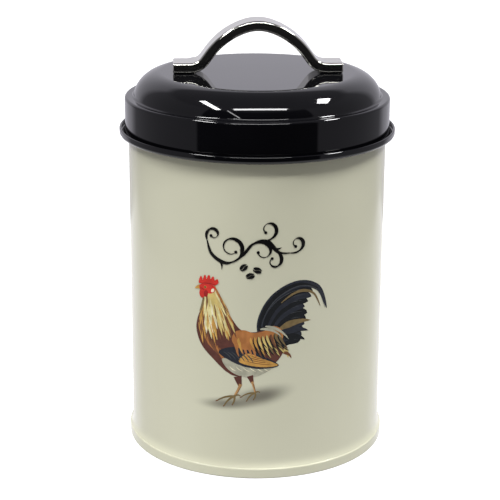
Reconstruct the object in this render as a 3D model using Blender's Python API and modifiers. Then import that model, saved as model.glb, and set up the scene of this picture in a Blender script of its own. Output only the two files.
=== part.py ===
"""Kitchen canister: a seamed steel can with a lift-off lid, a seal and a screwed-on strap handle.

Metres, +Z up. The origin is on the can's axis, at the plane it stands on. The handle runs along X
and the picture side of the can faces -Y. The lid, with everything fixed to it, lifts off along +Z.
"""
from math import cos, radians, sin

import bpy

# Driving dimensions
SEGMENTS = 48               # flats around each large turned piece
SMALL_SEGMENTS = 24         # flats around screws, washers and screw holes
SHEET = 0.0003              # thickness of the steel sheet
HALF = SHEET / 2
CAN_R = 0.0515              # outer radius of the can's wall
SEAM_R = 0.05275            # outer radius of the double seam at the foot
SEAM_HEIGHT = 0.0042
RIM_TOP = 0.1415            # top of the rolled rim around the mouth
RIM_CURL_R = 0.0013         # outer radius of the rolled rim's section
LID_TOP = 0.1524            # top face of the lid
LID_FLAT_R = 0.0382         # radius of the lid's flat top
SHOULDER_R = 0.01135        # radius of the lid's round shoulder
SHOULDER_TURN = 76          # degrees from the flat top to the foot of the shoulder
FILLET_R = 0.00097          # hollow corner between the shoulder and the ledge
SKIRT_R = 0.05283           # outer radius of the lid's skirt
CORNER_R = 0.001            # round corner between the ledge and the skirt
BEAD_R = 0.05513            # outer radius of the open bead
BEAD_LOW = 0.1277           # lowest point of the bead
BEAD_LIP_Z = 0.13015        # middle of the lip, rolled inwards on top of the bead
BEAD_LIP_R = 0.00048        # outer radius of the lip's section
STRAP_WIDTH = 0.013
STRAP_THICKNESS = 0.0040
STRAP_EDGE_R = 0.001
STRAP_TOP = 0.1731          # highest point of the handle
STRAP_HALF_LENGTH = 0.0335
ARCH_R = 0.0163             # handle's centre line: arch on top
ARCH_TURN = 18              # degrees
BEND_R = 0.028              # then a wider bend
LEG_SLOPE = 54              # then a straight leg, degrees from level
FOOT_FILLET_R = 0.0074      # and a hollow bend into the flat foot
SCREW_X = 0.029             # the handle's screws stand this far to each side
SCREW_R = 0.002             # M4
SCREW_CLEARANCE = 0.0003
HEAD_R = 0.004
HEAD_HEIGHT = 0.0026
WASHER_R = 0.0045
WASHER_THICKNESS = 0.0008
GAP = 0.00015               # left between pieces that touch

# Radii of the sheet's middle through the double seam, from the inside out
CHUCK_WALL_R = 0.0509       # base: wall of the recess
BODY_WALL_R = CAN_R - HALF
COVER_HOOK_R = 0.05175      # base: hook that points down
BODY_HOOK_R = 0.05215       # can body: hook that points up
SEAMING_WALL_R = SEAM_R - HALF
PANEL_Z = 0.004             # middle of the recessed base panel


def arc(centre, radius, start, end, steps):
    """Points (r, z) along an arc, from the start angle to the end angle in degrees."""
    angles = [radians(start + (end - start) * i / steps) for i in range(steps + 1)]
    return [(centre[0] + radius * cos(a), centre[1] + radius * sin(a)) for a in angles]


def collection(name):
    """A new collection in the scene."""
    new = bpy.data.collections.new(name)
    bpy.context.scene.collection.children.link(new)
    return new


def material(name, color, roughness, metallic):
    """A Principled material."""
    new = bpy.data.materials.new(name)
    new.use_nodes = True
    shader = new.node_tree.nodes["Principled BSDF"]
    shader.inputs["Base Color"].default_value = (*color, 1.0)
    shader.inputs["Roughness"].default_value = roughness
    shader.inputs["Metallic"].default_value = metallic
    return new


def mesh_object(name, vertices, edges, faces, look, home):
    """An object from a mesh, with its material, in its collection."""
    mesh = bpy.data.meshes.new(name)
    mesh.from_pydata(vertices, edges, faces)
    obj = bpy.data.objects.new(name, mesh)
    mesh.materials.append(look)
    home.objects.link(obj)
    return obj


def turned(name, profile, look, home, closed=False, sheet=None, segments=SEGMENTS, place=(0, 0, 0)):
    """A profile of (r, z) points turned around Z, and given a thickness where it is a sheet."""
    edges = [(i, i + 1) for i in range(len(profile) - 1)]
    if closed:
        edges.append((len(profile) - 1, 0))
    obj = mesh_object(name, [(r, 0, z) for r, z in profile], edges, [], look, home)
    obj.location = place
    screw = obj.modifiers.new("Turn", "SCREW")
    screw.axis = "Z"
    screw.steps = screw.render_steps = segments
    screw.use_merge_vertices = True
    screw.merge_threshold = 0.00001
    screw.use_smooth_shade = True
    if sheet:
        shell = obj.modifiers.new("Sheet", "SOLIDIFY")
        shell.thickness = sheet
        shell.offset = 0
        shell.use_even_offset = True
        shell.use_quality_normals = True
    return obj


def boolean(obj, operation, tool):
    """Cut a tool from an object, or join it on."""
    modifier = obj.modifiers.new(operation.title(), "BOOLEAN")
    modifier.operation = operation
    modifier.solver = "EXACT"
    modifier.object = tool


def as_tool(obj):
    """Mark an object as a tool, which isn't part of the model."""
    obj.hide_render = True
    obj.display_type = "WIRE"
    return obj


def screw_hole(side, home):
    """Tool for one screw's clearance hole: through the lid, and blind in the handle's foot."""
    low, high = LID_TOP - 4 * SHEET, LID_TOP + GAP + 0.8 * STRAP_THICKNESS
    bpy.ops.mesh.primitive_cylinder_add(vertices=SMALL_SEGMENTS, radius=SCREW_R + SCREW_CLEARANCE,
                                        depth=high - low, location=(side * SCREW_X, 0, (low + high) / 2))
    tool = bpy.context.object
    tool.name = "screw_hole_left" if side < 0 else "screw_hole_right"
    for owner in tool.users_collection:
        owner.objects.unlink(tool)
    home.objects.link(tool)
    return as_tool(tool)


def can_body(home, tools):
    """Wall with a hook at the foot, a rolled rim at the mouth and a lock seam at the back."""
    hook_bend = (COVER_HOOK_R, 0.001)
    rim_centre = (CAN_R - RIM_CURL_R, RIM_TOP - RIM_CURL_R)
    profile = [(BODY_HOOK_R, 0.0033)]
    profile += arc(hook_bend, BODY_HOOK_R - COVER_HOOK_R, 360, 180, 4)
    profile += arc(rim_centre, RIM_CURL_R - HALF, 0, 300, 8)
    enamel = material("cream_enamel", (0.60, 0.59, 0.46), 0.30, 0.0)
    body = turned("can_body", profile, enamel, home, sheet=SHEET)

    seam_low, seam_high = 0.005, RIM_TOP - 3 * RIM_CURL_R
    bpy.ops.mesh.primitive_cube_add(size=1, location=(0, CAN_R - 0.0005, (seam_low + seam_high) / 2))
    seam = bpy.context.object
    seam.name = "lock_seam"
    seam.scale = (0.004, 0.0006, seam_high - seam_low)
    for owner in seam.users_collection:
        owner.objects.unlink(seam)
    tools.objects.link(seam)
    boolean(body, "UNION", as_tool(seam))
    return body


def base_plate(home):
    """Base whose edge is folded around the can body's hook, with a recessed, stepped panel."""
    seam_bend_r = (SEAMING_WALL_R - COVER_HOOK_R) / 2
    foot_bend_r = 0.0003
    panel_bend_r = 0.0008
    profile = [(COVER_HOOK_R, 0.00125)]
    profile += arc((COVER_HOOK_R + seam_bend_r, SEAM_HEIGHT - HALF - seam_bend_r), seam_bend_r, 180, 0, 4)
    profile += arc((SEAMING_WALL_R - foot_bend_r, HALF + foot_bend_r), foot_bend_r, 0, -90, 2)
    profile += arc((CHUCK_WALL_R + foot_bend_r, HALF + foot_bend_r), foot_bend_r, 270, 180, 2)
    profile += arc((CHUCK_WALL_R - panel_bend_r, PANEL_Z - panel_bend_r), panel_bend_r, 0, 90, 3)
    step = 0.0008
    profile += [(0.044, PANEL_Z), (0.044 - step, PANEL_Z + step), (0, PANEL_Z + step)]
    tinplate = material("tinplate", (0.62, 0.62, 0.60), 0.35, 1.0)
    return turned("base_plate", profile, tinplate, home, sheet=SHEET)


def ledge_z():
    """Height of the top face of the lid's ledge, which follows from the shoulder and the fillet."""
    slope = radians(90 - SHOULDER_TURN)
    return LID_TOP - SHOULDER_R + (SHOULDER_R + FILLET_R) * sin(slope) - FILLET_R


def lid_shell(home, holes):
    """Flat top, round shoulder, ledge and skirt, turned out and up at the bottom into an open bead."""
    slope = 90 - SHOULDER_TURN
    shoulder = (LID_FLAT_R, LID_TOP - SHOULDER_R)
    fillet = (shoulder[0] + (SHOULDER_R + FILLET_R) * cos(radians(slope)), ledge_z() + FILLET_R)
    corner = (SKIRT_R - CORNER_R, ledge_z() - CORNER_R)
    bead_turn_r = (BEAD_R - SKIRT_R) / 2
    bead_turn = (SKIRT_R - HALF + bead_turn_r, BEAD_LOW + bead_turn_r + HALF)
    profile = [(0, LID_TOP - HALF)]
    profile += arc(shoulder, SHOULDER_R - HALF, 90, slope, 6)
    profile += arc(fillet, FILLET_R + HALF, 180 + slope, 270, 2)
    profile += arc(corner, CORNER_R - HALF, 90, 0, 3)
    profile += arc(bead_turn, bead_turn_r, 180, 360, 6)
    profile += arc((BEAD_R - BEAD_LIP_R, BEAD_LIP_Z), BEAD_LIP_R - HALF, 0, 180, 4)
    enamel = material("black_enamel", (0.012, 0.012, 0.013), 0.12, 0.0)
    lid = turned("lid_shell", profile, enamel, home, sheet=SHEET)
    for hole in holes:
        boolean(lid, "DIFFERENCE", hole)
    return lid


def lid_seal(home):
    """Ring with a flange between the rim and the lid's ledge, and a lip that plugs the mouth."""
    inner, outer, flange = 0.0476, 0.0485, 0.0522
    gap = 0.0002
    flange_top, flange_low = ledge_z() - SHEET - gap, RIM_TOP + gap
    top, low, chamfer = 0.1445, 0.136, 0.0004
    profile = [(inner, top), (outer, top), (outer, flange_top), (flange, flange_top),
               (flange, flange_low), (outer, flange_low), (outer, low + chamfer),
               (outer - chamfer, low), (inner, low)]
    silicone = material("silicone", (0.75, 0.75, 0.72), 0.55, 0.0)
    return turned("lid_seal", profile, silicone, home, closed=True)


def strap_centre_line():
    """Points (x, z) along the handle from its left foot to its right foot."""
    top = STRAP_TOP - STRAP_THICKNESS / 2
    foot = LID_TOP + GAP + STRAP_THICKNESS / 2
    turn = radians(ARCH_TURN)
    bend_centre = ((ARCH_R - BEND_R) * sin(turn), top - ARCH_R + (ARCH_R - BEND_R) * cos(turn))
    points = arc((0, top - ARCH_R), ARCH_R, 90, 90 - ARCH_TURN, 2)
    points += arc(bend_centre, BEND_R, 90 - ARCH_TURN, 90 - LEG_SLOPE, 4)[1:]
    leg_x, leg_z = points[-1]
    slope = radians(LEG_SLOPE)
    fillet_drop = FOOT_FILLET_R * (1 - cos(slope))
    fillet_x = leg_x + (leg_z - foot - fillet_drop) * cos(slope) / sin(slope) + FOOT_FILLET_R * sin(slope)
    points += arc((fillet_x, foot + FOOT_FILLET_R), FOOT_FILLET_R, 270 - LEG_SLOPE, 270, 4)
    points.append((STRAP_HALF_LENGTH, foot))
    return [(-x, z) for x, z in reversed(points[1:])] + points


def lid_handle(home, holes):
    """Bent strap with round edges and a blind hole in each foot."""
    line = strap_centre_line()
    half = STRAP_WIDTH / 2
    vertices = [(x, y, z) for x, z in line for y in (-half, half)]
    faces = [(2 * i, 2 * i + 1, 2 * i + 3, 2 * i + 2) for i in range(len(line) - 1)]
    chrome = material("chrome", (0.75, 0.75, 0.77), 0.08, 1.0)
    strap = mesh_object("lid_handle", vertices, [], faces, chrome, home)
    strap.data.shade_smooth()
    shell = strap.modifiers.new("Strap", "SOLIDIFY")
    shell.thickness = STRAP_THICKNESS
    shell.offset = 0
    shell.use_even_offset = True
    edges = strap.modifiers.new("Edges", "BEVEL")
    edges.width = STRAP_EDGE_R
    edges.segments = 2
    edges.limit_method = "ANGLE"
    edges.angle_limit = radians(60)
    for hole in holes:
        boolean(strap, "DIFFERENCE", hole)
    return strap


def fastener_set(side, home):
    """A pan-head screw and its washer, under the lid, on one side."""
    end = "left" if side < 0 else "right"
    steel = material("zinc_plated_steel_" + end, (0.60, 0.61, 0.62), 0.30, 1.0)
    washer_top = LID_TOP - SHEET - GAP
    bore = SCREW_R + SCREW_CLEARANCE
    ring = [(bore, 0), (WASHER_R, 0), (WASHER_R, -WASHER_THICKNESS), (bore, -WASHER_THICKNESS)]
    turned("handle_washer_" + end, ring, steel, home, closed=True, segments=SMALL_SEGMENTS,
           place=(side * SCREW_X, 0, washer_top))

    seat = washer_top - WASHER_THICKNESS - GAP
    tip = LID_TOP + 0.7 * STRAP_THICKNESS - seat
    chamfer = 0.0004
    crown = HEAD_HEIGHT * 0.55
    profile = [(0, tip), (SCREW_R - chamfer, tip), (SCREW_R, tip - chamfer), (SCREW_R, 0), (HEAD_R, 0)]
    profile += arc((HEAD_R - crown, crown - HEAD_HEIGHT), crown, 0, -90, 3)
    profile.append((0, -HEAD_HEIGHT))
    turned("handle_screw_" + end, profile, steel, home, segments=SMALL_SEGMENTS,
           place=(side * SCREW_X, 0, seat))


def main():
    """Clear the scene and build the canister."""
    for obj in list(bpy.data.objects):
        bpy.data.objects.remove(obj)
    home = collection("coffee_canister")
    tools = collection("tools")
    holes = [screw_hole(side, tools) for side in (-1, 1)]
    can_body(home, tools)
    base_plate(home)
    lid_shell(home, holes)
    lid_seal(home)
    lid_handle(home, holes)
    for side in (-1, 1):
        fastener_set(side, home)


main()
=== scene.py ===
"""Looks of the coffee canister: fine sheet-metal shells, enamels, chrome handle and printed cockerel.

Lengths are in metres, except in the print: it is laid out in millimetres on the can's unrolled wall,
with s along the wall to the right of the front, and z above the foot.
"""
import random
from math import atan2, ceil, cos, floor, pi, radians, sin, tan

import bmesh
import bpy
from mathutils import Matrix, Vector


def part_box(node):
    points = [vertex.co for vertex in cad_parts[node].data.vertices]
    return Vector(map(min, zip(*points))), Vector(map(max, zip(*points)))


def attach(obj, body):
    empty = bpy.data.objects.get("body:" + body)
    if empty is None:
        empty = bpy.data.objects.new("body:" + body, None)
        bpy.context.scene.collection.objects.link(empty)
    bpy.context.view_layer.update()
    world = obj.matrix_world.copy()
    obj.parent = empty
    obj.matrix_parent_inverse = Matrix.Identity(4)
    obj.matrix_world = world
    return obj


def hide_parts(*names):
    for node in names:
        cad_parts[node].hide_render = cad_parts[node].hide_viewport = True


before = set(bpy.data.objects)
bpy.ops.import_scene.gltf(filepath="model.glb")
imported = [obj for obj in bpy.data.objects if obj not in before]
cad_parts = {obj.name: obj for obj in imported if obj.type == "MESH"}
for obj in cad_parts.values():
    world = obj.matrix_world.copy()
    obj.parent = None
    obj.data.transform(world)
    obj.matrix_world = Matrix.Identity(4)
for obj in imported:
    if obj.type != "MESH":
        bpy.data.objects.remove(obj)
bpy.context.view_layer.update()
MM = 0.001
FRONT = radians(-2.58)                        # the printed front, turned a little from the handle's front


# ---------------------------------------------------------------- helpers

def srgb(red, green, blue):
    """Linear colour from 0 to 255 display values."""
    def linear(value):
        value /= 255
        return value / 12.92 if value <= 0.04045 else ((value + 0.055) / 1.055) ** 2.4
    return linear(red), linear(green), linear(blue), 1.0


def arc(centre, radius, start, end, steps):
    """Points (r, z) along an arc, from the start angle to the end angle in degrees."""
    angles = [radians(start + (end - start) * i / steps) for i in range(steps + 1)]
    return [(centre[0] + radius * cos(a), centre[1] + radius * sin(a)) for a in angles]


def link(obj):
    """Put an object in the scene."""
    bpy.context.scene.collection.objects.link(obj)
    return obj


def mesh_object(name, vertices, edges, faces):
    """A new object from mesh data."""
    mesh = bpy.data.meshes.new(name)
    mesh.from_pydata(vertices, edges, faces)
    return link(bpy.data.objects.new(name, mesh))


def baked(obj):
    """Turn an object's modifiers into mesh, and return the mesh."""
    bpy.context.view_layer.update()
    depsgraph = bpy.context.evaluated_depsgraph_get()
    mesh = bpy.data.meshes.new_from_object(obj.evaluated_get(depsgraph))
    old = obj.data
    obj.modifiers.clear()
    obj.data = mesh
    bpy.data.meshes.remove(old)
    mesh.name = obj.name
    return mesh


def finished(obj, material, body, sharp=30):
    """Bake an object, shade it smooth but for edges over sharp degrees, and fix it to its body."""
    mesh = baked(obj)
    mesh.shade_smooth()
    mesh.set_sharp_from_angle(angle=radians(sharp))
    weighted = obj.modifiers.new("Weighted", "WEIGHTED_NORMAL")
    weighted.keep_sharp = True
    mesh.materials.append(material)
    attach(obj, body)


def turned(name, profile, segments, closed=False, sheet=None):
    """A profile of (r, z) points turned around Z, and given a thickness where it is a sheet."""
    edges = [(i, i + 1) for i in range(len(profile) - 1)]
    if closed:
        edges.append((len(profile) - 1, 0))
    obj = mesh_object(name, [(r, 0, z) for r, z in profile], edges, [])
    screw = obj.modifiers.new("Turn", "SCREW")
    screw.axis = "Z"
    screw.steps = screw.render_steps = segments
    screw.use_merge_vertices = True
    screw.merge_threshold = 0.000002
    if sheet:
        shell = obj.modifiers.new("Sheet", "SOLIDIFY")
        shell.thickness = sheet
        shell.offset = 0
        shell.use_even_offset = True
    return obj


def box_tool(name, size, place):
    """A block used to cut or join, of the given size and centre."""
    x, y, z = (length / 2 for length in size)
    corners = [(i * x, j * y, k * z) for i in (-1, 1) for j in (-1, 1) for k in (-1, 1)]
    faces = [(0, 1, 3, 2), (4, 6, 7, 5), (0, 4, 5, 1), (2, 3, 7, 6), (0, 2, 6, 4), (1, 5, 7, 3)]
    tool = mesh_object(name, corners, [], faces)
    tool.location = place
    return tool


def rod_tool(name, radius, low, high, place):
    """An upright cylinder used to cut."""
    tool = turned(name, [(0, high), (radius, high), (radius, low), (0, low)], 32)
    tool.location = (*place, 0)
    return tool


def combine(obj, operation, tools):
    """Cut tools from an object or join them on, and remove the tools."""
    for tool in tools:
        modifier = obj.modifiers.new(operation, "BOOLEAN")
        modifier.operation = operation
        modifier.solver = "EXACT"
        modifier.object = tool
    baked(obj)
    for tool in tools:
        bpy.data.objects.remove(tool)


# ---------------------------------------------------------------- materials

class Nodes:
    """A node tree, with helpers that add nodes and link them."""

    def __init__(self, tree):
        self.tree = tree

    def node(self, kind, **settings):
        """A new node with its settings."""
        new = self.tree.nodes.new(kind)
        for key, value in settings.items():
            setattr(new, key, value)
        return new

    def feed(self, socket, value):
        """Put a number or a colour in an input, or link an output to it."""
        if isinstance(value, bpy.types.NodeSocket):
            self.tree.links.new(value, socket)
        else:
            socket.default_value = value

    def math(self, operation, *values):
        """A math node on outputs or numbers."""
        node = self.node("ShaderNodeMath", operation=operation)
        for socket, value in zip(node.inputs, values):
            self.feed(socket, value)
        return node.outputs["Value"]

    def mix(self, factor, first, second):
        """Mix two colours."""
        node = self.node("ShaderNodeMix", data_type="RGBA")
        for name, value in (("Factor", factor), ("A", first), ("B", second)):
            self.feed(node.inputs[name], value)
        return node.outputs["Result"]

    def ramp(self, source, stops):
        """A colour ramp; each stop is a position and a colour."""
        ramp = self.node("ShaderNodeValToRGB")
        elements = ramp.color_ramp.elements
        while len(elements) < len(stops):
            elements.new(0.5)
        for element, (position, color) in zip(elements, stops):
            element.position = position
            element.color = color
        self.feed(ramp.inputs["Fac"], source)
        return ramp.outputs["Color"]


class Look(Nodes):
    """A Principled material."""

    def __init__(self, name, roughness, metallic=0.0, ior=1.5):
        self.material = bpy.data.materials.new(name)
        self.material.use_nodes = True
        super().__init__(self.material.node_tree)
        self.shader = self.tree.nodes["Principled BSDF"]
        self.set("Roughness", roughness)
        self.set("Metallic", metallic)
        self.set("IOR", ior)
        self.place = self.node("ShaderNodeTexCoord").outputs["Object"]

    def set(self, name, value):
        """Set or link one of the shader's inputs."""
        self.feed(self.shader.inputs[name], value)

    def noise(self, scale, detail=2.0, stretch=(1, 1, 1)):
        """Noise over the object, stretched along its axes."""
        mapping = self.node("ShaderNodeMapping")
        mapping.inputs["Scale"].default_value = stretch
        self.feed(mapping.inputs["Vector"], self.place)
        texture = self.node("ShaderNodeTexNoise")
        texture.inputs["Scale"].default_value = scale
        texture.inputs["Detail"].default_value = detail
        self.feed(texture.inputs["Vector"], mapping.outputs["Vector"])
        return texture.outputs["Fac"]

    def mottle(self, scale, detail, dark, light):
        """A colour that wanders between two shades."""
        return self.ramp(self.noise(scale, detail), [(0.3, dark), (0.7, light)])

    def roughen(self, source, low, high):
        """Let the roughness follow a noise, from low to high."""
        mapped = self.node("ShaderNodeMapRange")
        for name, value in (("From Min", 0.3), ("From Max", 0.7), ("To Min", low), ("To Max", high),
                            ("Value", source)):
            self.feed(mapped.inputs[name], value)
        self.set("Roughness", mapped.outputs["Result"])

    def bump(self, source, height):
        """Bump of a real height, in metres."""
        bump = self.node("ShaderNodeBump")
        for name, value in (("Strength", 1.0), ("Distance", height), ("Height", source)):
            self.feed(bump.inputs[name], value)
        self.set("Normal", bump.outputs["Normal"])


# the print's ground shadow: for each soft ellipse its centre and half size (x, z), turn and depth
SHADOW_SPOTS = [((-0.0135, 0.0308), (0.0150, 0.0036), 4, 0.75),
                ((-0.0005, 0.0345), (0.0170, 0.0058), 12, 0.85)]
ENAMEL_SPECULAR = 0.25                        # the cream enamel and its inks shine less than plain gloss


def soft_spot(look, centre, half_size, turn):
    """1 in the middle of a turned ellipse on the can's front, falling softly to 0 at its edge."""
    split = look.node("ShaderNodeSeparateXYZ")
    look.feed(split.inputs["Vector"], look.place)
    front = look.math("LESS_THAN", split.outputs["Y"], 0.0)
    dx = look.math("SUBTRACT", split.outputs["X"], centre[0])
    dz = look.math("SUBTRACT", split.outputs["Z"], centre[1])
    c, s = cos(radians(turn)), sin(radians(turn))
    along = look.math("ADD", look.math("MULTIPLY", dx, c / half_size[0]),
                      look.math("MULTIPLY", dz, s / half_size[0]))
    across = look.math("ADD", look.math("MULTIPLY", dx, -s / half_size[1]),
                       look.math("MULTIPLY", dz, c / half_size[1]))
    squares = look.math("ADD", look.math("MULTIPLY", along, along), look.math("MULTIPLY", across, across))
    fall = look.node("ShaderNodeMapRange", interpolation_type="SMOOTHERSTEP")
    for name, value in (("From Min", 1.0), ("From Max", 0.0), ("Value", look.math("SQRT", squares))):
        look.feed(fall.inputs[name], value)
    return look.math("MULTIPLY", fall.outputs["Result"], front)


def cream_enamel(with_shadow):
    """Glossy cream enamel with a faint orange peel, and the printed ground shadow where asked."""
    look = Look("cream_enamel_printed" if with_shadow else "cream_enamel", 0.16)
    color = look.mottle(18, 3, srgb(205, 204, 180), srgb(209, 208, 185))
    if with_shadow:
        shadow = srgb(92, 88, 78)
        for centre, half_size, turn, depth in SHADOW_SPOTS:
            spot = soft_spot(look, centre, half_size, turn)
            color = look.mix(look.math("MULTIPLY", spot, depth), color, shadow)
    look.set("Base Color", color)
    look.set("Specular IOR Level", ENAMEL_SPECULAR)
    look.roughen(look.noise(60, 2), 0.11, 0.16)
    look.bump(look.noise(700, 2), 0.0000015)
    return look.material


def black_enamel():
    """High-gloss black enamel with a trace of orange peel and dust."""
    look = Look("black_enamel", 0.04)
    look.set("Base Color", look.mottle(40, 3, srgb(6, 6, 8), srgb(9, 9, 12)))
    look.roughen(look.noise(90, 4), 0.03, 0.06)
    look.bump(look.noise(450, 1), 0.0000012)
    return look.material


def chrome():
    """Polished chrome plate with a faint buffing grain along the strap."""
    look = Look("chrome", 0.05, metallic=1.0)
    look.set("Base Color", look.mottle(50, 2, srgb(206, 205, 197), srgb(215, 214, 206)))
    look.roughen(look.noise(300, 3, stretch=(0.15, 3, 1)), 0.07, 0.14)
    look.bump(look.noise(120, 1), 0.000004)
    return look.material


def zinc():
    """Bright zinc plate on the screws and washers."""
    look = Look("zinc_plate", 0.3, metallic=1.0)
    look.set("Base Color", look.mottle(400, 3, srgb(186, 188, 192), srgb(208, 209, 210)))
    look.roughen(look.noise(900, 3), 0.22, 0.4)
    look.bump(look.noise(1500, 2), 0.000002)
    return look.material


def silicone():
    """Milky silicone rubber with a matt moulded skin."""
    look = Look("silicone", 0.5, ior=1.41)
    look.set("Base Color", look.mottle(150, 3, srgb(214, 214, 208), srgb(224, 224, 219)))
    look.set("Subsurface Weight", 0.3)
    look.set("Subsurface Radius", (0.002, 0.002, 0.002))
    look.roughen(look.noise(500, 3), 0.42, 0.6)
    look.bump(look.noise(1200, 2), 0.000003)
    return look.material


# ---------------------------------------------------------------- sheet-metal shells

SHEET = 0.0003
HALF = SHEET / 2
AROUND = 256                                  # flats around the large shells
CAN_R = 0.0515                                # outer radius of the wall
SEAM_R = 0.05275                              # outer radius of the double seam at the foot
BODY_HOOK_R = 0.05215                         # the wall's hook in the seam, pointing up
COVER_HOOK_R = 0.05175                        # the base's hook in the seam, pointing down
CHUCK_WALL_R = 0.0509                         # wall of the recess under the base
PANEL_Z = 0.004                               # height of the base's panel, where it meets the recess
RIM_TOP = round(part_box("can_body")[1].z, 5)
LID_TOP = round(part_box("lid_shell")[1].z, 5)
BEAD_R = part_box("lid_shell")[1].x             # outer radius of the lid's bead


def can_wall(enamel):
    """Wall with its hook inside the double seam, rolled rim and lock seam.

    The enamel fairs the wall into the seam at the foot.
    """
    rim_r, hook_turn_r, hook_top, hook_low = 0.0013, 0.0004, 0.0033, 0.001
    profile = [(BODY_HOOK_R, hook_top)]
    profile += arc((BODY_HOOK_R - hook_turn_r, hook_low), hook_turn_r, 360, 180, 12)
    profile += arc((CAN_R - rim_r, RIM_TOP - rim_r), rim_r - HALF, 0, 300, 30)
    wall = turned("can_wall", profile, AROUND, sheet=SHEET)
    crest_r, crest_z, fade_z, steps = SEAM_R - SHEET, 0.004, 0.0092, 8
    fairing = [(CAN_R - HALF, crest_z)]
    for i in range(steps + 1):
        t = i / steps
        fairing.append((CAN_R + (crest_r - CAN_R) * (1 - t) ** 3.6, crest_z + (fade_z - crest_z) * t))
    fairing.append((CAN_R - HALF, fade_z))

    # the side seam: a flat fold inside the wall, and a fine groove outside
    seam_top, fold_low, groove_low = RIM_TOP - 3 * rim_r, 0.005, 0.0046
    fold_width, fold_depth, groove_width, groove_depth = 0.004, 0.0006, 0.0005, 0.00024
    inner_fold = box_tool("fold", (fold_width, fold_depth, seam_top - fold_low),
                          (0, CAN_R - SHEET - 0.0002, (seam_top + fold_low) / 2))
    groove = box_tool("groove", (groove_width, groove_depth, seam_top - groove_low),
                      (0, CAN_R, (seam_top + groove_low) / 2))
    combine(wall, "UNION", [inner_fold, turned("fairing", fairing, AROUND, closed=True)])
    combine(wall, "DIFFERENCE", [groove])
    finished(wall, enamel, "can")
    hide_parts("can_body")


def can_base(enamel):
    """Base with its seamed edge, recess and stepped panel."""
    seam_wall_r, foot_r, recess_r, step_r = SEAM_R - HALF, 0.0003, 0.0008, 0.0006
    fold_r = (seam_wall_r - COVER_HOOK_R) / 2
    hook_end, fold_z = 0.00125, 0.003625
    step_foot, step_crest, step_height = 0.0442, 0.043, 0.0008
    profile = [(COVER_HOOK_R, hook_end)]
    profile += arc((COVER_HOOK_R + fold_r, fold_z), fold_r, 180, 0, 14)
    profile += arc((seam_wall_r - foot_r, foot_r + HALF), foot_r, 0, -90, 8)
    profile += arc((CHUCK_WALL_R + foot_r, foot_r + HALF), foot_r, 270, 180, 8)
    profile += arc((CHUCK_WALL_R - recess_r, PANEL_Z - recess_r), recess_r, 0, 90, 10)
    profile += arc((step_foot, PANEL_Z + step_r), step_r, 270, 225, 5)
    profile += arc((step_crest, PANEL_Z + step_height - step_r), step_r, 45, 90, 5)
    profile += [(0.0, PANEL_Z + step_height)]
    base = turned("can_base", profile, AROUND, sheet=SHEET)
    finished(base, enamel, "can")
    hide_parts("base_plate")


SCREW_X = (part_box("handle_screw_right")[0].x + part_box("handle_screw_right")[1].x) / 2
SCREW_R = 0.002
SCREW_CLEARANCE = 0.0003


def screw_holes(low, high):
    """The cutters of the two screw holes, from one height to another."""
    return [rod_tool("hole", SCREW_R + SCREW_CLEARANCE, low, high, (side * SCREW_X, 0)) for side in (-1, 1)]


def lid_dome(enamel):
    """Lid: flat top, round shoulder, ledge and skirt, turned out and up into an open bead."""
    shoulder_r, fillet_r, corner_r, skirt_r = 0.01135, 0.00097, 0.001, 0.05283
    slope = 14
    shoulder = (0.0382, LID_TOP - shoulder_r)
    reach = shoulder_r + fillet_r
    fillet = (shoulder[0] + reach * cos(radians(slope)), shoulder[1] + reach * sin(radians(slope)))
    ledge = fillet[1] - fillet_r
    bead_turn_r, bead_low = (BEAD_R - skirt_r) / 2, 0.1277
    bead_turn = (skirt_r - HALF + bead_turn_r, bead_low + bead_turn_r + HALF)
    lip_r, lip_z = 0.00048, 0.13015
    top_ring = 0.019                          # a ring on the flat top, so that its faces stay short
    profile = [(0, LID_TOP - HALF), (top_ring, LID_TOP - HALF)]
    profile += arc(shoulder, shoulder_r - HALF, 90, slope, 38)
    profile += arc(fillet, fillet_r + HALF, 180 + slope, 270, 10)
    profile += arc((skirt_r - corner_r, ledge - corner_r), corner_r - HALF, 90, 0, 10)
    profile += arc(bead_turn, bead_turn_r, 180, 360, 24)
    profile += arc((BEAD_R - lip_r, lip_z), lip_r - HALF, 0, 200, 14)
    lid = turned("lid_dome", profile, AROUND, sheet=SHEET)
    combine(lid, "DIFFERENCE", screw_holes(LID_TOP - 0.002, LID_TOP + 0.001))
    finished(lid, enamel, "lid")
    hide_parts("lid_shell")


def seal_ring(rubber):
    """Silicone ring: flange under the ledge, and a lip with two fins that plugs the mouth."""
    low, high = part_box("lid_seal")
    inner, outer, flange, fin = 0.0476, 0.0484, high.x, 0.04868
    flange_top, flange_low = 0.14256, RIM_TOP + 0.0002
    fin_heights = (0.1402, 0.1384)
    above, below, tip = 0.0006, 0.0004, 0.0001    # a fin's root above and below its middle, half its tip
    edge = 0.0003
    profile = [(inner, high.z), (outer, high.z)]
    profile += [(outer, flange_top + edge), (outer + edge, flange_top)]
    profile += arc((flange - edge, flange_top - edge), edge, 90, 0, 4)
    profile += arc((flange - edge, flange_low + edge), edge, 0, -90, 4)
    profile += [(outer, flange_low)]
    for height in fin_heights:
        profile += [(outer, height + above), (fin, height + tip)]
        profile += [(fin, height - tip), (outer, height - below)]
    profile += arc((outer - edge, low.z + edge), edge, 0, -90, 4)
    profile += [(inner, low.z)]
    seal = turned("seal_ring", profile, AROUND // 2, closed=True)
    finished(seal, rubber, "lid", sharp=40)
    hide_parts("lid_seal")


# ---------------------------------------------------------------- handle and fasteners

handle_low, handle_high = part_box("lid_handle")
STRAP_THICKNESS = 0.0040
STRAP_EDGE_R = 0.001


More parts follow.
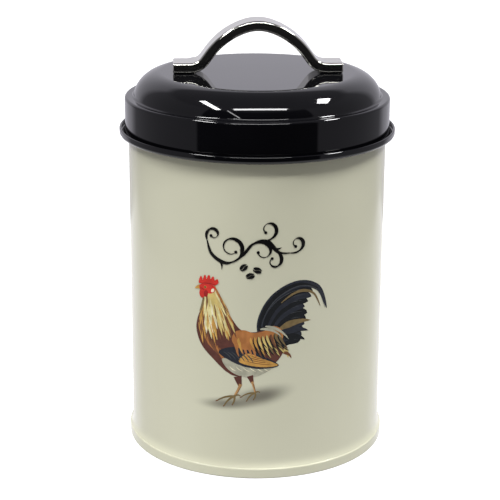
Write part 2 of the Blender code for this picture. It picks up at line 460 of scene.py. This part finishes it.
def strap_centre_line(steps):
    """Points (x, z) along the handle from its left foot to its right foot, and the foot's height."""
    arch_r, bend_r, fillet_r = 0.0163, 0.028, 0.0074
    arch_turn, slope = 18, 54
    top = handle_high.z - STRAP_THICKNESS / 2
    foot = handle_low.z + STRAP_THICKNESS / 2
    turn = radians(arch_turn)
    bend = ((arch_r - bend_r) * sin(turn), top - arch_r + (arch_r - bend_r) * cos(turn))
    points = arc((0, top - arch_r), arch_r, 90, 90 - arch_turn, steps)
    points += arc(bend, bend_r, 90 - arch_turn, 90 - slope, 2 * steps)[1:]
    leg_x, leg_z = points[-1]
    lean = radians(slope)
    leg_drop = leg_z - foot - fillet_r * (1 - cos(lean))
    fillet_x = leg_x + leg_drop / tan(lean) + fillet_r * sin(lean)
    points += arc((fillet_x, foot + fillet_r), fillet_r, 270 - slope, 270, 3 * steps)
    end = handle_high.x
    points += [(fillet_x + (end - fillet_x) * i / 4, foot) for i in range(1, 4)]
    return [(-x, z) for x, z in reversed(points[1:])] + points


def strap_section(shrink=0.0):
    """Rounded rectangle (across, up) of the strap, drawn in by shrink all round."""
    half_w = (handle_high.y - handle_low.y) / 2 - shrink
    half_t = STRAP_THICKNESS / 2 - shrink
    edge = STRAP_EDGE_R - shrink / 2
    section = []
    for i, (sx, sy) in enumerate(((1, 1), (-1, 1), (-1, -1), (1, -1))):
        corner = (sx * (half_w - edge), sy * (half_t - edge))
        section += arc(corner, edge, 90 * i, 90 * i + 90, 6)
    return section


def strap_handle(metal):
    """Bent chromed strap, swept along its centre line, with eased ends and a blind hole in each foot."""
    line = strap_centre_line(10)
    end_ease = 0.0005
    stations = []
    for i, (x, z) in enumerate(line):
        ahead, behind = line[min(i + 1, len(line) - 1)], line[max(i - 1, 0)]
        along = Vector((ahead[0] - behind[0], 0, ahead[1] - behind[1])).normalized()
        stations.append((Vector((x, 0, z)), along, 0.0))
    foot_z = line[0][1]
    for side in (-1, 1):
        ends = []
        for angle in (0, 30, 60, 90):
            inward = end_ease * (1 - sin(radians(angle)))
            shrink = end_ease * (1 - cos(radians(angle)))
            ends.append((Vector((side * (handle_high.x - inward), 0, foot_z)), Vector((1, 0, 0)), shrink))
        stations = stations + ends if side > 0 else list(reversed(ends)) + stations
    vertices, faces = [], []
    count = len(strap_section())
    for place, along, shrink in stations:
        up = Vector((-along.z, 0, along.x))
        for across, height in strap_section(shrink):
            vertices.append(place + Vector((0, -across, 0)) + up * height)
    for i in range(len(stations) - 1):
        for j in range(count):
            k = (j + 1) % count
            faces.append((i * count + j, i * count + k, (i + 1) * count + k, (i + 1) * count + j))
    faces.append(tuple(reversed(range(count))))
    faces.append(tuple(range(len(vertices) - count, len(vertices))))
    strap = mesh_object("strap_handle", vertices, [], faces)
    shape = bmesh.new()
    shape.from_mesh(strap.data)
    bmesh.ops.recalc_face_normals(shape, faces=shape.faces)
    shape.to_mesh(strap.data)
    shape.free()
    blind_end = LID_TOP + 0.0032
    combine(strap, "DIFFERENCE", screw_holes(LID_TOP - 0.001, blind_end))
    finished(strap, metal, "lid", sharp=40)
    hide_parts("lid_handle")


def fasteners(side, metal):
    """A pan-head screw with a cross recess, and its washer, on one side."""
    end = "left" if side < 0 else "right"
    low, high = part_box("handle_washer_" + end)
    edge = 0.0001
    bore, rim = SCREW_R + SCREW_CLEARANCE, (high.x - low.x) / 2
    profile = [(bore, high.z), (rim - edge, high.z), (rim, high.z - edge), (rim, low.z + edge),
               (rim - edge, low.z), (bore, low.z)]
    washer = turned("washer_" + end, profile, 48, closed=True)
    washer.location.x = side * SCREW_X

    low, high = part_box("handle_screw_" + end)
    head_r, head_height, chamfer = (high.x - low.x) / 2, 0.0026, 0.0004
    seat, crown, edge = low.z + head_height, 0.00143, 0.00012
    slot_length, slot_width, slot_depth = 0.0042, 0.0009, 0.0015
    profile = [(0, high.z), (SCREW_R - chamfer, high.z), (SCREW_R, high.z - chamfer), (SCREW_R, seat)]
    profile += [(head_r - edge, seat), (head_r, seat - edge)]
    profile += arc((head_r - crown, low.z + crown), crown, 0, -90, 10)
    profile.append((0, low.z))
    screw = turned("screw_" + end, profile, 48)
    screw.location.x = side * SCREW_X
    recess = [box_tool("slot", (*size, 2 * slot_depth), (side * SCREW_X, 0, low.z))
              for size in ((slot_length, slot_width), (slot_width, slot_length))]
    combine(screw, "DIFFERENCE", recess)
    for piece, node in ((washer, "handle_washer_" + end), (screw, "handle_screw_" + end)):
        finished(piece, metal, "lid")
        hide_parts(node)


# ---------------------------------------------------------------- the print

INKS = {
    "black": srgb(10, 9, 10), "red": srgb(204, 50, 42), "deep_red": srgb(154, 32, 30),
    "cream": srgb(222, 212, 156), "pale": srgb(232, 226, 196), "ochre": srgb(196, 148, 74),
    "straw": srgb(204, 182, 112), "orange": srgb(172, 112, 62), "brown": srgb(112, 72, 48),
    "maroon": srgb(90, 52, 44), "navy": srgb(36, 39, 48), "blue_black": srgb(15, 18, 22),
    "slate": srgb(60, 63, 66), "olive": srgb(118, 100, 66), "grey_cream": srgb(172, 170, 150),
    "shank": srgb(178, 136, 88),
}


def smooth(points, steps=6, closed=False):
    """Points along a Catmull-Rom curve through the given ones."""
    count = len(points)

    def at(i):
        return Vector(points[i % count] if closed else points[max(0, min(i, count - 1))])

    line = []
    for i in range(count if closed else count - 1):
        a, b, c, d = (at(i + k) for k in (-1, 0, 1, 2))
        for k in range(steps):
            t = k / steps
            line.append((2 * b + (c - a) * t + (2 * a - 5 * b + 4 * c - d) * t ** 2
                         + (3 * b - a - 3 * c + d) * t ** 3) / 2)
    return line if closed else line + [at(count - 1)]


def sweep(start, heading, length, bends, steps=32):
    """Points along a curve whose bend, in radians per mm, grows evenly from the first to the second."""
    point, line = Vector(start), [Vector(start)]
    for i in range(steps):
        point = point + Vector((cos(heading), sin(heading))) * length / steps
        heading += (bends[0] + (bends[1] - bends[0]) * (i + 0.5) / steps) * length / steps
        line.append(point)
    return line


def bowed(start, end, bow, steps=8):
    """Points along a bow from start to end, with its middle this far to the left of the straight line."""
    start, end = Vector(start), Vector(end)
    side = Vector((start.y - end.y, end.x - start.x)).normalized() * bow
    return [start.lerp(end, i / steps) + side * 4 * (i / steps) * (1 - i / steps) for i in range(steps + 1)]


def placed(points, centre, turn):
    """Points turned by an angle in degrees, then moved to a centre."""
    c, s = cos(radians(turn)), sin(radians(turn))
    return [(centre[0] + x * c - y * s, centre[1] + x * s + y * c) for x, y in points]


def leaf_shape(t):
    """Width along a feather or leaf: round at the root, widest at a third, and pointed."""
    return min(1.0, 0.3 + 2.5 * t) * (1 - t) ** 0.6


def pen_shape(t):
    """Width along a pen stroke, thin at both ends."""
    return 0.12 + 0.88 * sin(pi * t) ** 0.7


def leg_shape(t):
    """Width along a leg or toe, a little thinner towards its end."""
    return 1.0 - 0.45 * t


class Artwork:
    """Flat inks on the can's wall. Each shape lies a hair above the one before; each ink is one mesh.

    Every shape is cut along the same upright lines and bent only there, so the layers stay parallel.
    """
    BAND = 1.25                               # mm between the lines
    GROUND_COAT = 0.022                       # mm from the wall's radius to below the first shape
    STEP = 0.0008                             # mm from one shape to the next
    FILM = 0.01                               # mm, the thickness of the ink
    HAIRLINE = 0.03                           # mm, half the thinnest stroke
    NIB = Vector((-0.5, 0.866))               # the direction across the nib's edge

    def __init__(self):
        self.meshes = {name: ([], []) for name in INKS}
        self.lift = self.GROUND_COAT

    def add(self, ink, points, faces):
        """Cut a flat shape into bands and wrap it onto the wall, above the shapes already there."""
        flat = bmesh.new()
        corners = [flat.verts.new((s, z, 0)) for s, z in points]
        for face in faces:
            flat.faces.new([corners[i] for i in face])
        flat.normal_update()
        if sum(face.normal.z * face.calc_area() for face in flat.faces) < 0:
            bmesh.ops.reverse_faces(flat, faces=flat.faces[:])
        bmesh.ops.triangulate(flat, faces=flat.faces[:])
        low, high = min(s for s, z in points), max(s for s, z in points)
        for i in range(ceil(low / self.BAND), floor(high / self.BAND) + 1):
            everything = flat.verts[:] + flat.edges[:] + flat.faces[:]
            bmesh.ops.bisect_plane(flat, geom=everything, plane_co=(i * self.BAND, 0, 0), plane_no=(1, 0, 0))
        flat.verts.index_update()
        vertices, all_faces = self.meshes[ink]
        first = len(vertices)
        self.lift += self.STEP
        radius = CAN_R / MM + self.lift
        half_turn = self.BAND / 2 / radius
        for vert in flat.verts:
            middle = (floor(vert.co.x / self.BAND) + 0.5) * self.BAND
            reach = radius * cos(half_turn) / cos((vert.co.x - middle) / radius)
            angle = vert.co.x / radius + FRONT
            vertices.append((reach * MM * sin(angle), -reach * MM * cos(angle), vert.co.y * MM))
        all_faces += [tuple(first + vert.index for vert in face.verts) for face in flat.faces]
        flat.free()

    def fill(self, ink, outline):
        """A filled outline."""
        self.add(ink, outline, [range(len(outline))])

    def stroke(self, ink, line, width, shape=pen_shape, nib=0.0):
        """A stroke along a line; with a nib, the parts drawn across the nib's edge come out broad."""
        points = []
        last = len(line) - 1
        for i, point in enumerate(line):
            along = (Vector(line[min(i + 1, last)]) - Vector(line[max(i - 1, 0)])).normalized()
            half = max(self.HAIRLINE, width * shape(i / last) / 2)
            if nib:
                half *= (1 - nib) + nib * abs(along.dot(self.NIB))
            side = Vector((-along.y, along.x)) * half
            points += [Vector(point) + side, Vector(point) - side]
        self.add(ink, points, [(2 * i, 2 * i + 1, 2 * i + 3, 2 * i + 2) for i in range(last)])

    def dot(self, ink, centre, radius, flat=1.0, turn=0.0):
        """A filled oval."""
        oval = [(radius * cos(2 * pi * i / 20), radius * flat * sin(2 * pi * i / 20)) for i in range(20)]
        self.fill(ink, placed(oval, centre, turn))

    def finish(self):
        """Make one thin closed mesh of each ink, fixed to the can."""
        for name, (vertices, faces) in self.meshes.items():
            print_mesh = mesh_object("print_" + name, vertices, [], faces)
            film = print_mesh.modifiers.new("Film", "SOLIDIFY")
            film.thickness = self.FILM * MM
            film.offset = -1
            finished(print_mesh, ink_material(name), "can", sharp=40)


def ink_material(name):
    """Fired ink with a slight mottling, as glossy as the enamel."""
    look = Look("ink_" + name, 0.2)
    dark, light = ([channel * factor for channel in INKS[name][:3]] + [1.0] for factor in (0.86, 1.14))
    look.set("Base Color", look.ramp(look.noise(420, 3), [(0.35, dark), (0.65, light)]))
    look.set("Specular IOR Level", ENAMEL_SPECULAR)
    return look.material


def draw_tail(art, rng):
    """Two long sickle feathers over a fan of shorter ones, from the lowest to the highest."""
    top = [(2.5, 56), (1.4, 65), (6.5, 74.5), (16, 79.6), (24.5, 77.2), (28.6, 68.2)]
    low = [(6, 55.5), (9, 57), (12, 57.6), (15, 57.4), (18, 56.4), (21, 54.6)]
    art.fill("blue_black", smooth([(1.5, 57), (0.9, 64), (4.5, 71), (11, 76.5), (16, 77), (16, 70),
                                   (17.5, 63), (14.5, 56.5), (8, 54.5)], closed=True))
    fans = 10
    for i in range(fans):
        t = 1 - i / fans
        path = [Vector(b).lerp(Vector(a), t) for a, b in zip(low, top)]
        line = smooth(path, 8)
        keep = int(len(line) * (0.72 + 0.06 * rng.random()))
        ink = "navy" if i % 5 in (1, 3) else "blue_black"
        art.stroke(ink, line[:keep], 4.6, lambda u: (0.5 + 0.5 * min(1, 3 * u)) * (1 - u ** 5) ** 0.5)
        art.stroke("slate", line[6:keep - 3], 0.3)
    coverts = (("olive", (21.5, 64.5)), ("navy", (20.6, 60.4)), ("blue_black", (19.2, 56.8)))
    for i, (ink, end) in enumerate(coverts):
        art.stroke(ink, bowed((9 + i, 62 - 2 * i), end, 1.2), 3.4, leaf_shape)
    inner = [(4.5, 57), (4.6, 65), (9.5, 72.6), (16.5, 76.8), (22.4, 75.4), (25.6, 69.6)]
    art.stroke("olive", smooth(inner, 8)[16:], 1.5, lambda u: min(1, 0.2 + 2 * u) * (1 - u) ** 0.5)
    art.stroke("navy", smooth(top, 8), 3.6, lambda u: (0.45 + 0.55 * min(1, 2 * u)) * (1 - u ** 3) ** 0.7)
    second = [Vector(a).lerp(Vector(b), 0.28) for a, b in zip(top, inner)]
    art.stroke("blue_black", smooth(top[:5], 8), 1.6, pen_shape)
    art.stroke("slate", smooth(second, 8)[6:], 0.4, pen_shape)


def draw_body(art, rng):
    """Breast and body, belly, thighs, legs and toes."""
    for i in range(12):
        start = (6 + 0.38 * i, 60 - 0.7 * i)
        end = (start[0] + 2.4 + 1.2 * rng.random(), start[1] - 4 - 1.6 * rng.random() + 0.25 * i)
        ink = rng.choice(("blue_black", "straw", "brown", "olive", "navy", "cream"))
        art.stroke(ink, bowed(start, end, 0.8), 1.7, leaf_shape)
    art.fill("maroon", smooth([(-21, 71), (-23.6, 64.5), (-23.9, 59.5), (-21.6, 53.8), (-16.6, 48.6),
                               (-11.6, 44.2), (-7.5, 42.6), (-2, 44), (4, 46), (8.2, 49), (10.6, 53.5),
                               (9.6, 59), (4, 61.6), (-1.5, 60.9), (-6, 61.8), (-9.4, 66), (-13, 72),
                               (-16.5, 76)], closed=True))
    for i in range(9):
        start = (-21.5 + 0.9 * i, 61 - 0.9 * i)
        end = (start[0] + 3 + rng.random(), start[1] - 6.5 - rng.random())
        art.stroke(rng.choice(("brown", "brown", "orange")), bowed(start, end, -0.7), 0.7, leaf_shape)
    art.fill("grey_cream", smooth([(-13.2, 49.6), (-11.4, 45.7), (-7, 43), (-1.4, 42.4), (4, 44.6),
                                   (7.6, 47.4), (1, 48), (-6, 49)], closed=True))
    for i in range(6):
        art.stroke("pale", bowed((-10.4 + 2.6 * i, 46.6), (-7.8 + 2.6 * i, 44.8), -0.3), 0.3)
    legs = (((-2.4, 43), (-1.6, 40.6), (-0.4, 35.9), 0.75), ((-7.2, 42.6), (-6, 39.4), (-8.5, 34.2), 0.95))
    for hip, knee, foot, size in legs:
        art.stroke("maroon", [Vector(hip), Vector(knee).lerp(Vector(foot), 0.12)], 3.4 * size,
                   lambda u: 1 - 0.55 * u)
        art.stroke("shank", bowed(knee, foot, 0.15), 1.35 * size, leg_shape)
        art.stroke("brown", bowed((knee[0] + 0.3, knee[1] - 0.6), (foot[0] + 0.3, foot[1]), 0.15), 0.25)
        for ds, dz, bow in ((2.2, 0.6, 0.3), (-7.0, -2.4, -0.6), (-4.2, -4.4, -0.5), (-0.8, -3.6, 0.4)):
            toe = (foot[0] + ds * size, foot[1] + dz * size)
            art.stroke("olive", bowed(foot, toe, bow), 0.95 * size, leg_shape)
            claw = (toe[0] + 0.13 * ds * size, toe[1] - 0.5 * size)
            art.stroke("brown", [Vector(toe), Vector(claw)], 0.5 * size, leg_shape)


def draw_wing(art, rng):
    """Folded wing with an ochre panel, and the saddle hanging over it."""
    art.fill("navy", smooth([(-14.8, 52), (-10.5, 54.4), (-4, 54.4), (2.4, 51.4), (8.8, 47.2), (2.5, 45.9),
                             (-4, 46.6), (-9.6, 48.6)], closed=True))
    art.fill("ochre", smooth([(-6.6, 48.6), (-3.4, 52.2), (2, 50.3), (8.4, 47.3), (1.4, 46.7)], closed=True))
    for i in range(4):
        start, end = (-4.6 + 0.6 * i, 49.2 + 0.8 * i), (6.6 - 0.9 * i, 47.5 + 0.75 * i)
        art.stroke("brown", bowed(start, end, -0.3), 0.3)
    for i in range(6):
        art.stroke("slate", bowed((-13 + 1.7 * i, 52.4), (-9.6 + 1.7 * i, 49.6 - 0.25 * i), 0.4), 0.45)
    art.fill("orange", smooth([(-9.4, 57), (-8.4, 60.7), (-5, 61.7), (-1, 60.7), (3, 61.5), (6.4, 63.4),
                               (9.6, 61.8), (10, 57.6), (5, 54.4), (-1, 53.9), (-6, 54)], closed=True))
    for row in (2, 1, 0):
        for i in range(12):
            t = i / 11
            start = (-8.4 + 17 * t + row * 0.5, 58.4 - 1.4 * row + 2.4 * t * t)
            end = (start[0] + 0.8 + 2.2 * t, start[1] - 3.6 - 1.6 * rng.random() - 2.6 * t * (1.4 - t))
            if t < 0.45:
                ink = rng.choice(("orange", "orange", "ochre"))
                art.stroke(ink, bowed(start, end, -0.4), 1.3, leaf_shape)
            else:
                art.stroke("blue_black", bowed(start, end, -0.7), 2.0, leaf_shape)
                ink = rng.choice(("straw", "ochre", "brown", "straw", "olive"))
                art.stroke(ink, bowed(start, end, -0.4), 1.3, leaf_shape)
    for start, end in (((3.4, 63.4), (12.6, 57.6)), ((1.4, 62.2), (9.6, 58.8))):
        art.stroke("grey_cream", bowed(start, end, 1.3), 1.5, leaf_shape)


def draw_neck(art, rng):
    """Hackle feathers down the neck in rows, from the lowest row to the highest."""
    front = smooth([(-20.6, 75), (-22.6, 69), (-23.5, 63), (-22.4, 56.5), (-20, 50)], 10)
    back = smooth([(-16, 79), (-12, 72), (-9, 65.5), (-7.4, 59), (-7, 52)], 10)

    def place(across, down):
        i = max(0.0, min(down, 0.999)) * (len(front) - 1)
        k = int(i)
        left, right = (side[k].lerp(side[k + 1], i - k) for side in (front, back))
        return left.lerp(right, across)

    rows = 7
    for row in range(rows):
        down = 0.5 - 0.5 * row / (rows - 1)
        count = 12 - row // 2
        for i in range(count):
            across = (i + 0.5 + 0.3 * (rng.random() - 0.5)) / count
            start = place(across, down)
            end = place(across + 0.05 * (rng.random() - 0.5), down + 0.24 + 0.1 * rng.random())
            if across < 0.16:
                ink = rng.choice(("brown", "ochre", "olive"))
            elif across > 0.86:
                ink = rng.choice(("orange", "straw", "brown"))
            else:
                ink = rng.choice(("cream", "straw", "ochre", "cream", "straw", "brown", "pale"))
            art.stroke(ink, bowed(start, end, 0.25 - 0.5 * across), 1.5 - 0.05 * row, leaf_shape)


def draw_head(art):
    """Comb, face, wattles, ear lobe, beak and eye."""
    beak = [(-22.2, 78.6), (-23.6, 78.1), (-24.6, 76.9), (-23.1, 77), (-22, 76.8)]
    art.fill("ochre", smooth(beak, closed=True))
    art.fill("red", smooth([(-22.6, 78.4), (-20.9, 79.4), (-18.2, 79.3), (-16.1, 78.2), (-16.4, 76.4),
                            (-18.2, 75.5), (-20.6, 75.8), (-22.3, 76.8)], closed=True))
    comb = [(-22.9, 79.2)]
    for i in range(5):
        tip = Vector((-22 + 1.65 * i, 81 + 1.9 * sin(pi * (i + 1) / 5.6)))
        comb += [tip + Vector((-0.35, -0.3)), tip, tip + Vector((0.45, -0.25)), tip + Vector((0.75, -1.5))]
    comb += [(-14.6, 80.2), (-16.4, 78.9), (-19.6, 79.5)]
    art.fill("red", smooth(comb, 3, closed=True))
    for centre, size, turn in (((-21.6, 75.1), 1.75, 100), ((-19.9, 75.3), 1.4, 80)):
        art.dot("deep_red" if size < 1.5 else "red", centre, size, 0.62, turn)
    art.dot("pale", (-17.1, 76.9), 0.85, 0.7, 60)
    art.stroke("deep_red", bowed((-21.9, 79.2), (-16.2, 79.2), 0.35), 0.4)
    art.stroke("deep_red", bowed((-22.3, 77.4), (-20.6, 76.6), 0.2), 0.3)
    art.dot("ochre", (-20.2, 77.9), 0.5)
    art.dot("black", (-20.25, 77.9), 0.33)


def draw_flourish(art):
    """Pen scroll of curls, leaves and coffee beans."""
    stem = smooth([(-19.4, 97), (-17.4, 91.4), (-11.6, 88.4), (-6, 91.2), (-1.2, 96.6), (4, 97.2), (8.2, 93),
                   (13, 92.4)], 12)
    art.stroke("black", stem, 2.1, nib=0.75)
    last = len(stem) - 1
    # where along the stem, side, length (less than 0: back along the stem), and bend at start and end
    curls = ((1.0, 1, 15, (0.14, 0.68)), (0.0, 1, -13, (0.2, 0.75)), (0.30, 1, 27, (0.13, 0.40)),
             (0.50, -1, 19, (0.10, 0.50)), (0.66, 1, 17, (0.12, 0.56)), (0.84, -1, 13, (0.14, 0.66)))
    for where, side, length, bends in curls:
        i = min(int(where * last), last - 1)
        along = stem[i + 1] - stem[i]
        heading = atan2(along.y, along.x) + (pi if length < 0 else 0)
        turn = side if length > 0 else -side
        start = stem[i] if where < 1 else stem[last]
        line = sweep(start, heading, abs(length), [turn * bend for bend in bends])
        art.stroke("black", line, 1.6, lambda u: 0.3 + 0.7 * sin(pi * min(1.0, 1.3 * u)) ** 0.8, nib=0.6)
        art.dot("black", line[-1], 0.6)
    for i, side, length in ((18, -1, 3.6), (34, 1, 3.4), (52, -1, 3.2), (66, 1, 3.0)):
        along = (stem[i + 1] - stem[i]).normalized()
        out = Vector((-along.y, along.x)) * side
        tip = stem[i] + along * length * 0.75 + out * length * 0.8
        art.stroke("black", bowed(stem[i], tip, -0.7 * side), 1.1, leaf_shape)
    for centre, turn in (((-5.0, 86.9), 35), ((0.2, 85.9), -20), ((-2.5, 83.6), 10)):
        draw_bean(art, centre, turn)


def draw_bean(art, centre, turn):
    """A coffee bean, as two halves on either side of its waved crease."""
    length, width, crease = 1.75, 1.2, 0.13
    for side in (1, -1):
        half = [(length * cos(pi * i / 12), side * width * sin(pi * i / 12)) for i in range(1, 12)]
        wave = [(-length + 2 * length * i / 8, side * crease - 0.3 * sin(2 * pi * i / 8)) for i in range(9)]
        art.fill("black", placed(half + wave, centre, turn))


def printed_front():
    """The whole picture on the can's front."""
    art, rng = Artwork(), random.Random(5)
    draw_tail(art, rng)
    draw_body(art, rng)
    draw_wing(art, rng)
    draw_neck(art, rng)
    draw_head(art)
    draw_flourish(art)
    art.finish()


# ---------------------------------------------------------------- studio

# brightness of the room's walls, from straight behind (0) through the sides (0.5) to the front (1)
WALL_LEVELS = [(0.0, 0.74), (0.12, 0.72), (0.19, 0.28), (0.797, 0.26), (0.812, 0.02), (1.0, 0.012)]
CEILING = 0.2
GROUND = 0.25
TARGET = Vector((0, 0, 0.1))
LIGHT_DISTANCE = 3.0
FLOOR_Z = -0.0002                             # a little under the foot, which stands at 0


def room_light(level):
    """The room's colour at a brightness: nearly grey, with a trace of violet."""
    return level, level * 0.98, level * 1.08, 1


def studio_world():
    """White backdrop for the camera; for light and reflections a dim room, dark at the front."""
    world = bpy.data.worlds.new("studio")
    world.use_nodes = True
    bpy.context.scene.world = world
    world.node_tree.nodes.clear()
    room = Nodes(world.node_tree)
    math = room.math

    direction = room.node("ShaderNodeSeparateXYZ")
    room.feed(direction.inputs["Vector"], room.node("ShaderNodeTexCoord").outputs["Generated"])
    x, y, z = direction.outputs
    level_length = math("SQRT", math("ADD", math("MULTIPLY", x, x), math("MULTIPLY", y, y)))
    toward_front = math("ADD", math("MULTIPLY", x, sin(FRONT)), math("MULTIPLY", y, -cos(FRONT)))
    facing_front = math("MULTIPLY_ADD", math("DIVIDE", toward_front, level_length), 0.5, 0.5)
    walls = room.ramp(facing_front, [(position, room_light(level)) for position, level in WALL_LEVELS])
    # the ceiling fades in over 38 to 44 degrees up, and the ground over 17 to 44 degrees down
    up = math("MINIMUM", math("MAXIMUM", math("MULTIPLY_ADD", z, 12.0, -7.4), 0.0), 1.0)
    down = math("SMOOTH_MIN", math("MAXIMUM", math("MULTIPLY_ADD", z, -2.5, -0.75), 0.0), 1.0, 0.1)
    color = room.mix(down, room.mix(up, walls, room_light(CEILING)), room_light(GROUND))

    choose = room.node("ShaderNodeMixShader")
    room.feed(choose.inputs["Fac"], room.node("ShaderNodeLightPath").outputs["Is Camera Ray"])
    for socket, shade in zip(choose.inputs[1:], (color, (1, 1, 1, 1))):
        background = room.node("ShaderNodeBackground")
        room.feed(background.inputs["Color"], shade)
        room.feed(socket, background.outputs["Background"])
    room.feed(room.node("ShaderNodeOutputWorld").inputs["Surface"], choose.outputs["Shader"])


def toward(azimuth, elevation):
    """Unit vector; azimuth 0 is the printed front, positive to the right."""
    a, e = radians(azimuth) + FRONT, radians(elevation)
    return Vector((sin(a) * cos(e), -cos(a) * cos(e), sin(e)))


def softbox(name, end_a, end_b, height, level):
    """A rectangular light that faces the object, from one direction to another.

    Each end is an azimuth and an elevation, and height is an angle, all in degrees; level is its radiance.
    """
    a, b = toward(*end_a), toward(*end_b)
    out = (a + b).normalized()
    data = bpy.data.lights.new(name, "AREA")
    data.shape = "RECTANGLE"
    data.size = LIGHT_DISTANCE * (a / a.dot(out) - b / b.dot(out)).length
    data.size_y = 2 * LIGHT_DISTANCE * tan(radians(height / 2))
    data.energy = level * pi * data.size * data.size_y
    light = link(bpy.data.objects.new(name, data))
    across = (b - a).normalized()
    light.matrix_world = Matrix.Translation(TARGET + out * LIGHT_DISTANCE) @ Matrix(
        (across, out.cross(across), out)).transposed().to_4x4()
    return light


def studio_lights():
    """Softboxes around the object, and a glow from the table.

    The key shows only in reflections, and the high fill lights only what isn't a mirror.
    """
    softbox("key", (-27, 48), (34, 48), 6, 23).visible_diffuse = False
    softbox("high_fill", (-27, 57), (34, 57), 7, 29).visible_glossy = False
    softbox("left_bar", (-87, 58.5), (-42, 41.5), 4.5, 44)
    softbox("left_line", (-32, 42), (-14, 14), 1.0, 12)
    softbox("right_box", (107, 54.5), (83, 48), 8.5, 48)
    table = bpy.data.lights.new("table_glow", "AREA")
    table_level = 0.56
    table.size = 0.6
    table.energy = table_level * pi * table.size ** 2
    glow = link(bpy.data.objects.new("table_glow", table))
    glow.location.z = FLOOR_Z / 2
    glow.rotation_euler.x = pi
    glow.visible_camera = False


def studio_floor():
    """Plain white floor that lights nothing itself."""
    half = 4
    corners = [(-half, -half, 0), (half, -half, 0), (half, half, 0), (-half, half, 0)]
    floor = mesh_object("floor", corners, [], [(0, 1, 2, 3)])
    floor.location.z = FLOOR_Z
    paper = Look("white_paper", 0.9)
    paper.set("Base Color", (0.35, 0.35, 0.35, 1))
    paper.set("Specular IOR Level", 0.0)
    paper.set("Emission Color", (1, 1, 1, 1))
    paper.set("Emission Strength", 0.93)
    floor.data.materials.append(paper.material)
    floor.visible_glossy = False
    floor.visible_diffuse = False


def studio_camera():
    """Camera before the printed front, looking down a little."""
    data = bpy.data.cameras.new("camera")
    data.lens = 113.57
    data.sensor_width = 36
    data.clip_start = 0.01
    place = Matrix.Translation((-0.00263, -0.6188, 0.2709))
    tilt = Matrix.Rotation(radians(90 - 17.3245), 4, "X")
    roll = Matrix.Rotation(radians(0.29), 4, "Z")
    camera = link(bpy.data.objects.new("camera", data))
    camera.matrix_world = Matrix.Rotation(FRONT, 4, "Z") @ place @ tilt @ roll
    bpy.context.scene.camera = camera
    bpy.context.scene.view_settings.view_transform = "Standard"


# ---------------------------------------------------------------- the whole scene

can_wall(cream_enamel(True))
can_base(cream_enamel(False))
lid_dome(black_enamel())
seal_ring(silicone())
strap_handle(chrome())
zinc_plate = zinc()
for side in (-1, 1):
    fasteners(side, zinc_plate)
printed_front()
studio_world()
studio_lights()
studio_floor()
studio_camera()
